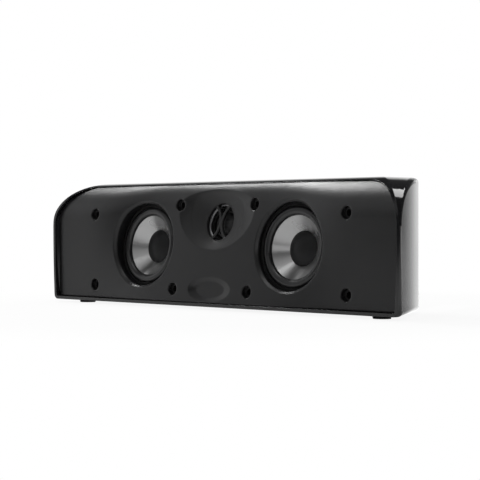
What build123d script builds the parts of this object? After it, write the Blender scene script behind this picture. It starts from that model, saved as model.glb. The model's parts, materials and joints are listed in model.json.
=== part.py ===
from build123d import *
import os
from math import asin, cos, pi, radians, sin, sqrt, tan

# Cabinet: overall form
cabinet_width = 391.2
cabinet_height = 100.0
cabinet_depth = 100.0
cabinet_wall = 2.6
top_corner_across = 42.0
top_corner_down = 36.0
bottom_corner_radius = 4.5
end_bow_radius = 1050.0
front_band = 2.0
flank_angle = 30.3
back_corner_radius = 62.0
bottom_edge_radius = 4.0
front_roll_radius = 31.0

# Front baffle: a tray inside the rim, tilted back in the middle and rolled at the top
baffle_gap = 0.4
baffle_wall = 2.8
baffle_recess = 3.8
baffle_depth = 40.0
end_roll_radius = 31.5
end_roll_drop = 27.4
middle_roll_radius = 24.0
middle_roll_drop = 14.7
baffle_tilt = 7.6
tilt_pivot_height = 26.0
tilt_plateau = 60.0
tilt_fade = 90.0
fade_sections = 4

# Woofers
woofer_spacing = 165.4
woofer_height = 47.8
woofer_setback = 14.9
woofer_tilt = 7.0
woofer_splay = 1.5
well_radius = 34.1
well_chamfer = 2.2
collar_wall = 4.9
cone_radius = 24.6
cone_lip = 1.6
cone_slope = 0.78
cone_thickness = 0.5
surround_outer_radius = 31.7
surround_thickness = 0.7
glue_line = 0.15
gasket_thickness = 1.2
dust_cap_radius = 13.7
dust_cap_rise = 4.6
former_radius = 10.0
former_wall = 0.25
former_length = 17.0
coil_build = 0.6
coil_length = 6.0
spider_step = 0.7
spider_thickness = 0.5
spider_waves = 3
spider_seat_depth = 14.6
basket_wall = 1.6
flange_thickness = 2.0
basket_depth = 20.8
basket_windows = 4
motor_radius = 25.0
motor_gap = 0.5
pole_gap = 0.45
top_plate_thickness = 4.0
magnet_thickness = 12.0
back_plate_thickness = 4.0
pole_vent_radius = 2.5
woofer_screws = 4
lug_strip_size = (12.0, 1.4)

# Tweeter
tweeter_height = 67.0
tweeter_setback = 15.2
tweeter_tilt = 13.0
throat_radius = 15.0
throat_length = 6.0
flare_half_width = 42.0
flare_half_height = 28.4
flare_drop = 2.9
flare_depth = 6.0
flare_curl = 0.75
flare_shares = (0.5, 1.0, 1.5)
flare_wall = 2.5
guard_bar = 2.3
guard_depth = 1.8
guard_bow_radius = 16.4
guard_waist = 1.8
guard_setback = 0.6
dome_radius = 9.6
dome_rise = 4.2
dome_surround = 2.6
film_thickness = 0.3
tweeter_plate_radius = 24.0
tweeter_plate_thickness = 2.4
tweeter_cup_radius = 16.0
tweeter_magnet_thickness = 7.0
tweeter_pole_thickness = 3.0
tweeter_gap = 0.9
tweeter_screws = 3

# Badge recess and grille sockets
badge_half_width = 24.0
badge_half_height = 10.0
badge_height = 13.8
badge_depth = 1.5
badge_floor_share = 0.66
outer_socket_spacing = 285.2
outer_socket_heights = (13.8, 73.6)
inner_socket_spacing = 84.6
inner_socket_heights = (13.0, 80.6)
socket_radius = 4.9
socket_depth = 3.4
grommet_radius = 4.4
grommet_bore = 2.75
grommet_length = 7.0
boss_wall = 1.8

# Fasteners
screw_radius = 1.35
screw_head_radius = 2.5
screw_head_height = 1.8
screw_clearance = 0.25
thread_slack = 0.1
case_screw_length = 22.0
case_column_radius = 5.0
case_screw_places = ((-126, 12), (-126, 68), (-46, 11), (46, 11), (126, 12), (126, 68))
joint_depth = 52.0
joint_clearance = 0.2

# Feet
foot_height = 2.5
foot_radius = 7.2
foot_taper = 0.7
front_foot_inset = 29.0
front_foot_setback = 15.6
rear_foot_inset = 92.6
rear_foot_setback = 84.0

# Terminals, insert and crossover
terminal_width = 62.0
terminal_height = 34.0
terminal_thickness = 2.6
terminal_corner = 5.0
terminal_above = 46.0
terminal_screw_inset = 5.0
post_spacing = 19.0
post_stud_radius = 2.4
post_base_radius = 6.0
post_base_height = 3.0
post_cap_radius = 6.4
post_cap_length = 11.0
post_cap_gap = 0.5
post_inner_length = 9.0
post_nut_radius = 4.2
post_nut_height = 2.6
cap_flutes = 12
insert_radius = 4.6
insert_bore = 3.2
insert_length = 11.0
insert_above = 78.0
board_width = 72.0
board_length = 40.0
board_thickness = 1.6
board_standoff = 5.0
board_setback = 46.0
capacitor_radius = 6.0
capacitor_length = 22.0
inductor_outer_radius = 9.0
inductor_inner_radius = 4.5
inductor_height = 11.0
resistor_size = (22.0, 6.5, 6.5)
pad_size = (46.0, 9.0, 62.0)
pad_margin = 5.7

# Worked-out places
half_width = cabinet_width / 2
post_reach = terminal_thickness + post_base_height + post_cap_gap + post_cap_length
front_y = -(cabinet_depth + post_reach) / 2
back_y = front_y + cabinet_depth
floor_z = foot_height
top_z = floor_z + cabinet_height
far = 3 * cabinet_width
flank_sin = sin(radians(flank_angle))
flank_cos = cos(radians(flank_angle))


def turned(*points):
    """Solid turned about Z from (radius, height) points."""
    return revolve(Plane.XZ * make_face(Polyline(*points, close=True)), Axis.Z)


def ring(inner, outer, low, high):
    """Plain ring about Z."""
    if inner <= 0:
        return turned((0, low), (outer, low), (outer, high), (0, high))
    return turned((inner, low), (outer, low), (outer, high), (inner, high))


def curved(edges):
    """Solid turned about Z from a closed chain of edges."""
    return revolve(Plane.XZ * make_face(edges), Axis.Z)


def around(count, radius, start=0.0):
    """Places evenly spaced on a circle about Z."""
    angles = [radians(start + 360 * i / count) for i in range(count)]
    return [Pos(radius * cos(a), radius * sin(a), 0) for a in angles]


def save(name, solid):
    export_step(solid, os.path.join("parts", name + ".step"))


# Outlines of the cabinet, each drawn in by an inset
def front_outline(inset):
    """Front view: arched ends, large top corners, tight bottom corners."""
    hw = half_width - inset
    low = floor_z + inset
    high = top_z - inset
    across = top_corner_across - inset
    down = top_corner_down - inset
    shoulder = high - down
    bow = end_bow_radius - inset

    def end_x(z):
        return hw - bow + sqrt(bow ** 2 - (shoulder - z) ** 2)

    middle = (low + shoulder) / 2
    right = ThreePointArc((end_x(low), low), (end_x(middle), middle), (hw, shoulder))
    right_corner = EllipticalCenterArc((hw - across, shoulder), across, down, 0, arc_size=90)
    top = Line((hw - across, high), (across - hw, high))
    left_corner = EllipticalCenterArc((across - hw, shoulder), across, down, 90, arc_size=90)
    left = ThreePointArc((-hw, shoulder), (-end_x(middle), middle), (-end_x(low), low))
    bottom = Line((-end_x(low), low), (end_x(low), low))
    face = make_face([right, right_corner, top, left_corner, left, bottom])
    corners = face.vertices().group_by(Axis.Y)[0]
    return fillet(corners, max(bottom_corner_radius - inset, bottom_corner_radius / 3))


def plan_outline(inset):
    """Top view: a short straight band, flat flanks drawing in, and a rounded back."""
    hw = half_width - inset
    band_y = front_y + front_band
    rear = back_y - inset
    crease = band_y - inset * flank_sin + inset * (1 - flank_cos) / flank_sin * flank_cos
    run = (rear - band_y + inset * flank_sin) / flank_cos
    rear_x = half_width - inset * flank_cos - run * flank_sin
    ahead = front_y - cabinet_depth
    points = [(hw, ahead), (hw, crease), (rear_x, rear)]
    points += [(-x, y) for x, y in reversed(points)]
    face = make_face(Polyline(*points, close=True))
    corners = face.vertices().group_by(Axis.Y)[-1]
    return fillet(corners, back_corner_radius - inset)


def front_prism(inset):
    return extrude(Plane.XZ * front_outline(inset), far, both=True)


def plan_prism(inset):
    return extrude(plan_outline(inset), far, both=True)


def side_prism():
    """Side view: upright front with the top edge rolled back."""
    roll = front_roll_radius
    shoulder = (front_y, top_z - roll)
    crest = (front_y + roll, top_z)
    bend = (front_y + roll * (1 - cos(pi / 4)), top_z - roll * (1 - sin(pi / 4)))
    rest = Polyline(crest, (back_y, top_z), (back_y, floor_z), (front_y, floor_z), shoulder)
    return extrude(Plane.YZ * make_face([ThreePointArc(shoulder, bend, crest), rest]), far, both=True)


# Front surface of the baffle, drawn as sections across the width
def middle_share(x):
    """One over the tilted middle of the face, fading to nothing towards the ends."""
    share = (abs(x) - tilt_plateau) / tilt_fade
    share = min(max(share, 0), 1)
    return cos(share * pi / 2) ** 2


def tilt_at(x):
    return radians(baffle_tilt * middle_share(x))


def roll_at(x):
    """Radius of the top roll, and how far below the cabinet's rim it starts."""
    share = middle_share(x)
    radius = end_roll_radius + (middle_roll_radius - end_roll_radius) * share
    return radius, end_roll_drop + (middle_roll_drop - end_roll_drop) * share


def baffle_section(x, inset):
    """Section of the baffle block at x, with its front face drawn in by an inset."""
    tilt = tilt_at(x)
    roll, drop = roll_at(x)
    end = asin(drop / roll + sin(tilt))
    start_z = top_z - cabinet_wall - drop
    face_y = front_y + baffle_recess + (start_z - floor_z - tilt_pivot_height) * tan(tilt)
    centre = (face_y + roll * cos(tilt), start_z - roll * sin(tilt))
    radius = roll - inset

    def on_roll(angle):
        return (centre[0] - radius * cos(angle), centre[1] + radius * sin(angle))

    begin = on_roll(tilt)
    finish = on_roll(end)
    foot = (begin[0] - (begin[1] - floor_z) * tan(tilt), floor_z)
    rear = front_y + baffle_depth + inset
    arc = ThreePointArc(begin, on_roll((tilt + end) / 2), finish)
    rest = Polyline(finish, (rear, finish[1]), (rear, floor_z), foot, begin)
    return Plane.YZ.offset(x) * make_face([arc, rest])


def section_places():
    """Places across the width, close enough together that the loft doesn't sag between them."""
    fade = [tilt_plateau + tilt_fade * i / fade_sections for i in range(fade_sections + 1)]
    right = [tilt_plateau / 2, *fade, (fade[-1] + half_width) / 2, half_width]
    return [-x for x in reversed(right)] + [0] + right


def baffle_block(inset):
    block = loft([baffle_section(x, inset) for x in section_places()])
    edge = cabinet_wall + baffle_gap + inset
    return block & front_prism(edge) & plan_prism(edge)


def surface_y(x, z):
    """Depth of the baffle's front face at a place above the cabinet floor."""
    tilt = tilt_at(x)
    roll, drop = roll_at(x)
    start = cabinet_height - cabinet_wall - drop
    flat = front_y + baffle_recess + (min(z, start) - tilt_pivot_height) * tan(tilt)
    if z <= start:
        return flat
    lean = sin(tilt) + (z - start) / roll
    return flat + roll * (cos(tilt) - sqrt(1 - lean ** 2))


# Driver frames: Z points out of the front along the driver's axis
def woofer_frame(side):
    tilt = radians(woofer_tilt)
    splay = radians(woofer_splay)
    out = (side * sin(splay) * cos(tilt), -cos(splay) * cos(tilt), sin(tilt))
    place = (side * woofer_spacing / 2, front_y + woofer_setback, floor_z + woofer_height)
    return Plane(origin=place, x_dir=(1, 0, 0), z_dir=out)


def tweeter_frame():
    tilt = radians(tweeter_tilt)
    place = (0, front_y + tweeter_setback, floor_z + tweeter_height)
    return Plane(origin=place, x_dir=(1, 0, 0), z_dir=(0, -cos(tilt), sin(tilt)))


# Heights along a woofer's axis, from the cone's front edge
flange_face = -glue_line * 2
surround_seat = flange_face + glue_line
roll_outer_radius = surround_outer_radius - 2 * glue_line
gasket_seat = surround_seat + surround_thickness + glue_line
woofer_mount = gasket_seat + gasket_thickness
flange_radius = well_radius + collar_wall - glue_line
woofer_screw_circle = well_radius + collar_wall / 2
surround_edge = (surround_outer_radius + woofer_screw_circle) / 2 - glue_line
cone_lip_radius = cone_radius + cone_lip
cone_face = surround_seat - glue_line
neck_radius = former_radius + glue_line
neck_height = cone_face - (cone_radius - neck_radius) * cone_slope
basket_floor = flange_face - basket_depth
plate_face = basket_floor
magnet_face = plate_face - top_plate_thickness
back_plate_face = magnet_face - magnet_thickness
yoke_end = back_plate_face - back_plate_thickness
coil_middle = plate_face - top_plate_thickness / 2
pole_radius = former_radius - former_wall - pole_gap
coil_radius = former_radius + glue_line + coil_build
gap_radius = coil_radius + motor_gap
spider_seat = flange_face - spider_seat_depth
spider_radius = cone_radius - glue_line

# Heights along the tweeter's axis, from the throat
tweeter_mount = -throat_length
film_seat = tweeter_mount - tweeter_plate_thickness
film_face = film_seat - glue_line
cup_face = film_face - film_thickness - glue_line
film_flange_radius = dome_radius + 2 * dome_surround
tweeter_coil_radius = dome_radius + coil_build / 2
tweeter_pole_radius = dome_radius - coil_build / 2 - tweeter_gap / 2
tweeter_pole_face = cup_face - tweeter_gap
tweeter_magnet_face = tweeter_pole_face - tweeter_pole_thickness
tweeter_floor = tweeter_magnet_face - tweeter_magnet_thickness
tweeter_screw_circle = (throat_radius + flare_wall + tweeter_plate_radius) / 2

# Heights above the cabinet floor and depths behind the front, for the inner and rear pieces
board_z = floor_z + cabinet_wall + board_standoff
board_y = front_y + board_setback + board_length / 2
board_inset = boss_wall + screw_head_radius
post_face = terminal_thickness + post_base_height + post_cap_gap
socket_floor = -socket_depth - grommet_length
flank_run = (cabinet_depth - front_band) * tan(radians(flank_angle))
back_flat = half_width - flank_run - back_corner_radius * tan(radians(45 - flank_angle / 2))
pad_place = back_flat - pad_margin - pad_size[0] / 2
column_length = cabinet_depth - joint_depth - joint_clearance
tunnel_depth = column_length - boss_wall


def flare(wall):
    """Waveguide: opens from the round throat to a flatter oval mouth, lofted on past the face."""
    sections = [Circle(throat_radius + wall)]
    for share in flare_shares:
        wide = throat_radius + (flare_half_width - throat_radius) * share + wall
        tall = throat_radius + (flare_half_height - throat_radius) * share + wall
        level = Plane.XY.offset(flare_depth * share ** flare_curl)
        sections.append(level * Pos(0, -flare_drop * share) * Ellipse(wide, tall))
    return loft(sections)


def guard():
    """Two bowed bars, back to back and joined at the waist, over the throat."""
    away = guard_bow_radius + guard_waist / 2
    bow = Circle(guard_bow_radius + guard_bar / 2) - Circle(guard_bow_radius - guard_bar / 2)
    bars = (Pos(-away, 0) * bow + Pos(away, 0) * bow) & Circle(throat_radius + flare_wall / 2)
    return Pos(0, 0, -guard_setback - guard_depth) * extrude(bars, guard_depth)


def socket_places():
    for spacing, heights in ((outer_socket_spacing, outer_socket_heights),
                             (inner_socket_spacing, inner_socket_heights)):
        for side in (-1, 1):
            for height in heights:
                yield side * spacing / 2, height


def facing_front(x, y, height):
    """Frame at a place whose Z axis points to the front."""
    return Plane(origin=(x, y, floor_z + height), x_dir=(1, 0, 0), z_dir=(0, -1, 0))


def facing_back(x, y, height):
    """Frame at a place whose Z axis points to the back."""
    return Plane(origin=(x, y, floor_z + height), x_dir=(-1, 0, 0), z_dir=(0, 1, 0))


# Cabinet
def cabinet_shell():
    outer = plan_prism(0) & front_prism(0) & side_prism()
    low_edges = outer.edges().group_by(Axis.Z)[0].sort_by(Axis.Y)[1:]
    outer = fillet(low_edges, bottom_edge_radius)
    inner = front_prism(cabinet_wall) & plan_prism(cabinet_wall)
    shell = outer - inner
    inside = outer & inner
    columns = Part()
    for x, height in case_screw_places:
        columns += facing_front(x, back_y, height) * ring(0, case_column_radius, 0, column_length)
    standoffs = Part()
    for x, y in board_corners():
        standoffs += Pos(x, y, floor_z) * ring(0, boss_wall + screw_radius, 0, cabinet_wall + board_standoff)
    insert_boss = ring(0, insert_radius + boss_wall, 0, insert_length + boss_wall)
    shell += inside & (columns + standoffs + facing_front(0, back_y, insert_above) * insert_boss)
    for x, height in case_screw_places:
        frame = facing_front(x, back_y, height)
        shell -= frame * ring(0, screw_head_radius + screw_clearance, 0, tunnel_depth)
        shell -= frame * ring(0, screw_radius + screw_clearance, 0, column_length + 1)
    for x, y in board_corners():
        shell -= Pos(x, y, floor_z + cabinet_wall) * ring(0, screw_radius, 0, 2 * board_standoff)
    shell -= facing_front(0, back_y, insert_above) * ring(0, insert_radius, 0, insert_length)
    for x, height in terminal_screw_places():
        shell -= facing_front(x, back_y, height) * ring(0, screw_radius, 0, 2 * cabinet_wall)
    for side in (-1, 1):
        hole = ring(0, post_nut_radius + screw_clearance * 2, -1, 2 * cabinet_wall)
        shell -= facing_front(side * post_spacing / 2, back_y, terminal_above) * hole
    return shell


def board_corners():
    for sx in (-1, 1):
        for sy in (-1, 1):
            yield sx * (board_width / 2 - board_inset), board_y + sy * (board_length / 2 - board_inset)


def terminal_screw_places():
    for sx in (-1, 1):
        for sz in (-1, 1):
            x = sx * (terminal_width / 2 - terminal_screw_inset)
            yield x, terminal_above + sz * (terminal_height / 2 - terminal_screw_inset)


# Baffle
def front_baffle():
    block = baffle_block(0)
    tray = block - baffle_block(baffle_wall)
    added = Part()
    for side in (-1, 1):
        added += woofer_frame(side) * ring(0, well_radius + collar_wall, woofer_mount, baffle_depth)
    throat = ring(0, throat_radius + flare_wall, tweeter_mount, flare_depth)
    seat = ring(0, tweeter_plate_radius, tweeter_mount, tweeter_mount + boss_wall)
    seat_screws = Part()
    for place in around(tweeter_screws, tweeter_screw_circle, 90):
        seat_screws += place * ring(0, boss_wall + screw_radius, tweeter_mount, 0)
    added += tweeter_frame() * (flare(flare_wall) + throat + seat + seat_screws)
    for x, height in socket_places():
        frame = facing_front(x, surface_y(x, height), height)
        added += frame * ring(0, socket_radius + boss_wall, socket_floor - boss_wall, baffle_recess)
    boss_y = front_y + joint_depth
    for x, height in case_screw_places:
        length = boss_y - surface_y(x, height)
        added += facing_front(x, boss_y, height) * ring(0, case_column_radius - boss_wall / 2, 0, length)
    badge = facing_front(0, surface_y(0, badge_height), badge_height)
    tilted = badge * Rot(-baffle_tilt, 0, 0)
    oval = Ellipse(badge_half_width, badge_half_height)
    backing = extrude(oval, badge_depth + baffle_wall)
    added += tilted * Pos(0, 0, -badge_depth - baffle_wall) * backing
    deep_block = block + case_boss_room()
    tray += added & deep_block
    for side in (-1, 1):
        tray -= well_cut(block, side)
        tray -= woofer_frame(side) * ring(0, flange_radius + joint_clearance, yoke_end, woofer_mount)
        for place in around(woofer_screws, woofer_screw_circle, 45):
            pilot = ring(0, screw_radius, -cabinet_depth / 2, woofer_mount + 2 * flange_thickness)
            tray -= woofer_frame(side) * place * pilot
    tray -= tweeter_frame() * flare(0)
    tray -= tweeter_frame() * ring(0, throat_radius, -cabinet_depth / 2, 1)
    for place in around(tweeter_screws, tweeter_screw_circle, 90):
        pilot = ring(0, screw_radius, tweeter_mount - 1, tweeter_mount + throat_length / 2)
        tray -= tweeter_frame() * place * pilot
    for x, height in socket_places():
        frame = facing_front(x, surface_y(x, height), height)
        tray -= frame * ring(0, socket_radius, -socket_depth, end_roll_radius)
        tray -= frame * ring(0, grommet_radius + joint_clearance, socket_floor, 0)
    for x, height in case_screw_places:
        tray -= facing_front(x, boss_y, height) * ring(0, screw_radius, -1, case_screw_length)
    floor = Plane.XY.offset(-badge_depth) * scale(oval, badge_floor_share)
    rim = Plane.XY.offset(badge_depth) * scale(oval, 2 - badge_floor_share)
    tray -= tilted * loft([floor, rim])
    return tray + tweeter_frame() * guard()


def well_lip(body, side):
    """Edges where a woofer's well breaks through the baffle's front face."""
    frame = woofer_frame(side)

    def on_lip(edge):
        places = [frame.to_local_coords(edge @ share) for share in (0, 0.5, 1)]
        near = all(abs(Vector(p.X, p.Y).length - well_radius) < joint_clearance for p in places)
        return near and min(p.Z for p in places) > woofer_mount + joint_clearance

    return [edge for edge in body.edges() if on_lip(edge)]


def well_cut(block, side):
    """Cutter for a woofer's well with its lip chamfered."""
    frame = woofer_frame(side)
    plug = block & (frame * ring(0, well_radius + 2 * well_chamfer, woofer_mount, baffle_depth))
    rim = plug - frame * ring(0, well_radius, 0, cabinet_depth)
    return plug - chamfer(well_lip(rim, side), well_chamfer)


def case_boss_room():
    """Room behind the baffle tray for the screw bosses."""
    room = Part()
    for x, height in case_screw_places:
        length = joint_depth - baffle_depth + 1
        room += facing_front(x, front_y + joint_depth, height) * ring(0, case_column_radius, 0, length)
    return room


# Screws: head behind, shank pointing along +Z
def screw(length):
    head = ring(0, screw_head_radius, -screw_head_height, 0)
    return head + ring(0, screw_radius - thread_slack, 0, length)


def group(solids):
    return Compound(children=list(solids))


# Woofer pieces, drawn on the driver's own axis
def woofer_screw_holes(low, high):
    holes = Part()
    for place in around(woofer_screws, woofer_screw_circle, 45):
        holes += place * ring(0, screw_radius + screw_clearance, low, high)
    return holes


def woofer_gasket():
    """Soft ring between the driver's flange and the well, stepped over the surround's edge."""
    step = surround_edge + glue_line
    inner = surround_outer_radius
    under = [(inner, gasket_seat), (step, gasket_seat), (step, flange_face), (flange_radius, flange_face)]
    body = turned(*under, (flange_radius, woofer_mount), (inner, woofer_mount))
    return body - woofer_screw_holes(flange_face - 1, woofer_mount + 1)


def woofer_surround():
    """Half-roll rubber edge between the cone and the basket."""
    low = surround_seat
    high = low + surround_thickness
    inner = cone_lip_radius
    outer = roll_outer_radius
    middle = (inner + outer) / 2
    crest = high + (outer - inner) / 2
    edge = surround_edge
    skin = surround_thickness
    under = ThreePointArc((inner + skin, low), (middle, crest - skin), (outer - skin, low))
    rim = Polyline((outer - skin, low), (edge, low), (edge, high), (outer, high))
    over = ThreePointArc((outer, high), (middle, crest), (inner, high))
    lip = Polyline((inner, high), (cone_radius, high), (cone_radius, low), (inner + skin, low))
    return curved([under, rim, over, lip])


def woofer_cone():
    wall = cone_thickness * sqrt(1 + cone_slope ** 2)
    return turned((neck_radius, neck_height), (cone_radius, cone_face), (cone_lip_radius, cone_face),
                  (cone_lip_radius, cone_face - cone_thickness), (cone_radius, cone_face - wall),
                  (neck_radius, neck_height - wall))


def cap_arc(radius, base, rise):
    ball = (radius ** 2 + rise ** 2) / (2 * rise)
    half = base + rise - ball + sqrt(ball ** 2 - radius ** 2 / 4)
    return ThreePointArc((radius, base), (radius / 2, half), (0, base + rise))


def dust_cap():
    base = cone_face - (cone_radius - dust_cap_radius) * cone_slope + glue_line
    outer = cap_arc(dust_cap_radius, base, dust_cap_rise)
    inner = cap_arc(dust_cap_radius - cone_thickness, base, dust_cap_rise - cone_thickness)
    crown = Line(outer @ 1, inner @ 1)
    edge = Line(outer @ 0, inner @ 0)
    return curved([outer, crown, inner, edge])


def coil_former():
    high = neck_height + 2 * cone_thickness
    return ring(former_radius - former_wall, former_radius, high - former_length, high)


def voice_coil():
    low = coil_middle - coil_length / 2
    return ring(former_radius + glue_line, coil_radius, low, low + coil_length)


def spider():
    """Corrugated ring that centres the coil."""
    inner = former_radius + 2 * glue_line
    turns = 2 * spider_waves
    flat = (spider_radius - inner) / (turns + 2)
    top = [(inner, spider_seat + glue_line + spider_thickness)]
    for i in range(turns + 1):
        lift = spider_step if i % 2 else 0
        top.append((inner + flat * (i + 0.5), spider_seat + glue_line + spider_thickness + lift))
    top.append((spider_radius, spider_seat + glue_line + spider_thickness))
    low = [(r, h - spider_thickness) for r, h in reversed(top)]
    return turned(*top, *low)


def basket():
    """Pressed frame: flange, windowed cone, spider seat and floor."""
    under = flange_face - flange_thickness
    seat = cone_radius
    well = seat - 2 * basket_wall
    floor = basket_floor + basket_wall
    hole = gap_radius + basket_wall
    inner = surround_outer_radius
    ledge = spider_seat - basket_wall
    body = turned((inner, flange_face), (flange_radius, flange_face), (flange_radius, under),
                  (inner + basket_wall, under), (seat + basket_wall, ledge), (well + basket_wall, ledge),
                  (well + basket_wall, basket_floor), (hole, basket_floor), (hole, floor), (well, floor),
                  (well, spider_seat), (seat, spider_seat), (inner, under))
    window = Box(flange_radius - well, seat, under - spider_seat - 2 * basket_wall)
    place = Pos((seat + flange_radius) / 2, 0, (under + spider_seat) / 2)
    for i in range(basket_windows):
        body -= Rot(0, 0, i * 360 / basket_windows) * place * window
    return body - woofer_screw_holes(under - 1, flange_face + 1)


def top_plate():
    return ring(gap_radius, motor_radius - basket_wall, magnet_face, plate_face)


def ring_magnet():
    return ring(gap_radius + basket_wall, motor_radius, back_plate_face, magnet_face)


def yoke():
    """Back plate and vented pole in one piece."""
    edge = motor_radius - basket_wall
    return turned((pole_vent_radius, yoke_end), (edge, yoke_end), (edge, back_plate_face),
                  (pole_radius, back_plate_face), (pole_radius, plate_face), (pole_vent_radius, plate_face))


def lug_strip():
    """Small board with the driver's solder lugs, against the basket's lower ring."""
    height = spider_seat - basket_wall - basket_floor
    away = cone_radius - basket_wall + lug_strip_size[1] / 2 + glue_line
    return Pos(0, -away, basket_floor + height / 2) * Box(lug_strip_size[0], lug_strip_size[1], height)


def woofer_screw_set():
    length = woofer_mount - flange_face + 3 * flange_thickness - 2 * thread_slack
    return group(place * Pos(0, 0, flange_face - flange_thickness) * screw(length)
                 for place in around(woofer_screws, woofer_screw_circle, 45))


woofer_pieces = {
    "gasket": woofer_gasket,
    "surround": woofer_surround,
    "cone": woofer_cone,
    "dust_cap": dust_cap,
    "coil_former": coil_former,
    "voice_coil": voice_coil,
    "spider": spider,
    "basket": basket,
    "top_plate": top_plate,
    "magnet": ring_magnet,
    "yoke": yoke,
    "lug_strip": lug_strip,
    "screws": woofer_screw_set,
}


# Tweeter pieces, drawn on its own axis
def tweeter_faceplate():
    body = ring(dome_radius + dome_surround + glue_line, tweeter_plate_radius, film_seat, tweeter_mount)
    for place in around(tweeter_screws, tweeter_screw_circle, 90):
        body -= place * ring(0, screw_radius + screw_clearance, film_seat - 1, tweeter_mount + 1)
    return body


def tweeter_dome():
    """Dome, half-roll edge and flange formed from one film."""
    roll = dome_radius + dome_surround
    middle = dome_radius + dome_surround / 2

    def face(drop):
        level = film_face - drop
        rise = dome_surround / 2
        bead = ThreePointArc((roll, level), (middle, level + rise), (dome_radius, level))
        flange = Line((film_flange_radius, level), (roll, level))
        return [flange, bead, cap_arc(dome_radius, level, dome_rise)]

    top = face(0)
    under = face(film_thickness)
    edge = Line(top[0] @ 0, under[0] @ 0)
    crown = Line(top[2] @ 1, under[2] @ 1)
    return curved([*top, crown, *under, edge])


def tweeter_coil():
    high = film_face - film_thickness - glue_line
    low = tweeter_magnet_face
    return ring(dome_radius - coil_build / 2, tweeter_coil_radius, low, high)


def tweeter_pole_cap():
    return ring(0, tweeter_pole_radius, tweeter_magnet_face, tweeter_pole_face)


def tweeter_magnet():
    return ring(0, tweeter_pole_radius - glue_line, tweeter_floor, tweeter_magnet_face)


def tweeter_cup():
    bore = tweeter_coil_radius + tweeter_gap / 2
    end = tweeter_floor - tweeter_pole_thickness
    return turned((0, end), (tweeter_cup_radius, end), (tweeter_cup_radius, cup_face), (bore, cup_face),
                  (bore, tweeter_floor), (0, tweeter_floor))


def tweeter_screw_set():
    length = tweeter_plate_thickness + throat_length / 2 - 2 * thread_slack
    return group(place * Pos(0, 0, film_seat) * screw(length)
                 for place in around(tweeter_screws, tweeter_screw_circle, 90))


tweeter_pieces = {
    "faceplate": tweeter_faceplate,
    "dome": tweeter_dome,
    "coil": tweeter_coil,
    "pole_cap": tweeter_pole_cap,
    "magnet": tweeter_magnet,
    "cup": tweeter_cup,
    "screws": tweeter_screw_set,
}


# Soft sockets for the grille's pegs
def grommet():
    cup = ring(0, grommet_radius, 0, grommet_length - joint_clearance)
    return cup - ring(0, grommet_bore, boss_wall, grommet_length)


def grille_grommets():
    return group(facing_front(x, surface_y(x, height), height) * Pos(0, 0, socket_floor) * grommet()
                 for x, height in socket_places())


def case_screw_set():
    length = boss_wall + joint_clearance + case_screw_length - 4 * thread_slack
    return group(facing_front(x, back_y - tunnel_depth, height) * screw(length)
                 for x, height in case_screw_places)


# Feet
def foot(inset, setback, side):
    pad = turned((0, 0), (foot_radius - foot_taper, 0), (foot_radius, foot_height), (0, foot_height))
    return Pos(side * (half_width - inset), front_y + setback, 0) * pad


# Terminals on the back
def terminal_plate():
    plate = extrude(RectangleRounded(terminal_width, terminal_height, terminal_corner), terminal_thickness)
    body = facing_back(0, back_y, terminal_above) * plate
    for side in (-1, 1):
        body -= post_frame(side) * ring(0, post_stud_radius + screw_clearance, -1, terminal_thickness + 1)
    for x, height in terminal_screw_places():
        hole = ring(0, screw_radius + screw_clearance, -1, terminal_thickness + 1)
        body -= facing_back(x, back_y, height) * hole
    return body


def post_frame(side):
    return facing_back(side * post_spacing / 2, back_y, terminal_above)


def post_stud():
    return ring(0, post_stud_radius, -post_inner_length, post_face + post_cap_length - 2 * boss_wall)


def post_base():
    bore = post_stud_radius + glue_line
    return ring(bore, post_base_radius, terminal_thickness, terminal_thickness + post_base_height)


def post_cap():
    """Fluted cap with a blind bore over the stud."""
    body = ring(0, post_cap_radius, post_face, post_face + post_cap_length)
    body -= ring(0, post_stud_radius + post_cap_gap, post_face - 1, post_face + post_cap_length - boss_wall)
    groove = ring(0, boss_wall / 2, post_face - 1, post_face + post_cap_length + 1)
    for place in around(cap_flutes, post_cap_radius + boss_wall / 4):
        body -= place * groove
    return body


def post_nut():
    flats = extrude(RegularPolygon(post_nut_radius, 6), post_nut_height)
    return Pos(0, 0, -post_nut_height) * flats - ring(0, post_stud_radius + thread_slack, -far, far)


def terminal_screw_set():
    length = terminal_thickness + cabinet_wall
    return group(facing_front(x, back_y + terminal_thickness, height) * screw(length)
                 for x, height in terminal_screw_places())


def threaded_insert():
    sleeve = ring(insert_bore, insert_radius - thread_slack, 0, insert_length - thread_slack)
    return facing_front(0, back_y, insert_above) * sleeve


# Crossover
def crossover_board():
    body = Pos(0, board_y, board_z + board_thickness / 2) * Box(board_width, board_length, board_thickness)
    for x, y in board_corners():
        body -= Pos(x, y, board_z) * ring(0, screw_radius + screw_clearance, -1, board_thickness + 1)
    return body


def on_board(x, y):
    return Pos(x, board_y + y, board_z + board_thickness)


def capacitors():
    can = Rot(0, 90, 0) * ring(0, capacitor_radius, -capacitor_length / 2, capacitor_length / 2)
    row = board_length / 2 - 2 * board_inset
    away = capacitor_length / 2 + boss_wall
    lift = Pos(0, 0, capacitor_radius + glue_line)
    return group(on_board(side * away, row) * lift * can for side in (-1, 1))


def inductors():
    coil = ring(inductor_inner_radius, inductor_outer_radius, 0, inductor_height)
    away = board_width / 2 - 2 * board_inset - boss_wall
    return group(on_board(side * away, -2 * boss_wall) * coil for side in (-1, 1))


def resistor():
    place = on_board(0, -board_length / 2 + resistor_size[1])
    return place * Pos(0, 0, resistor_size[2] / 2) * Box(*resistor_size)


def board_screw_set():
    length = board_thickness + board_standoff - thread_slack
    return group(on_board(x, y - board_y) * Rot(180, 0, 0) * screw(length) for x, y in board_corners())


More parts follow.
